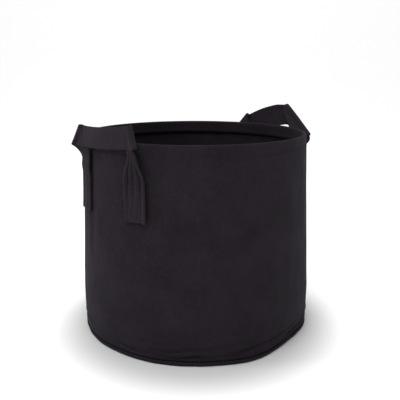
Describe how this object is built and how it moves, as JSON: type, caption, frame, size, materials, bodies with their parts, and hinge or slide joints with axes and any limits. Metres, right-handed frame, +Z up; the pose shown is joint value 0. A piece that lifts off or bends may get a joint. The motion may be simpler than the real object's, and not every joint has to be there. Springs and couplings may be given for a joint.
{
  "type": "fabric grow bag",
  "caption": "Round felt planter bag with an open top, a hemmed rim, a sewn-in base and two strap handles on the outside that swing out and down.",
  "frame": {"origin": "centre of the base panel's underside, on the bag's axis", "axes": "+Z up; -X to the left handle and +X to the right handle; +Y to the side seam at the rear"},
  "size_m": [0.3578, 0.357, 0.3352],
  "materials": {
    "wall_felt": "matte needle felt",
    "strap_felt": "matte needle felt",
    "thread": "spun polyester thread"
  },
  "bodies": {
    "bag": {"wall_panel": "wall_felt", "base_panel": "wall_felt", "base_seam_needle_thread": "thread", "base_seam_bobbin_thread": "thread", "side_seam_needle_thread": "thread", "side_seam_bobbin_thread": "thread", "hem_needle_thread": "thread", "hem_bobbin_thread": "thread", "left_handle_front_tab": "strap_felt", "left_handle_front_needle_thread": "thread", "left_handle_front_bobbin_thread": "thread", "left_handle_rear_tab": "strap_felt", "left_handle_rear_needle_thread": "thread", "left_handle_rear_bobbin_thread": "thread", "right_handle_front_tab": "strap_felt", "right_handle_front_needle_thread": "thread", "right_handle_front_bobbin_thread": "thread", "right_handle_rear_tab": "strap_felt", "right_handle_rear_needle_thread": "thread", "right_handle_rear_bobbin_thread": "thread"},
    "left_handle": {"left_handle_loop": "strap_felt"},
    "right_handle": {"right_handle_loop": "strap_felt"}
  },
  "joints": [
    {"name": "left_handle_swing", "type": "hinge", "parent": "bag", "child": "left_handle", "pos_m": [-0.1715, 0, 0.256], "axis": [0, -1, 0], "range_deg": [-2.5, 150]},
    {"name": "right_handle_swing", "type": "hinge", "parent": "bag", "child": "right_handle", "pos_m": [0.1704, -0.01941, 0.256], "axis": [0.1132, 0.9936, 0], "range_deg": [-2, 150]}
  ]
}
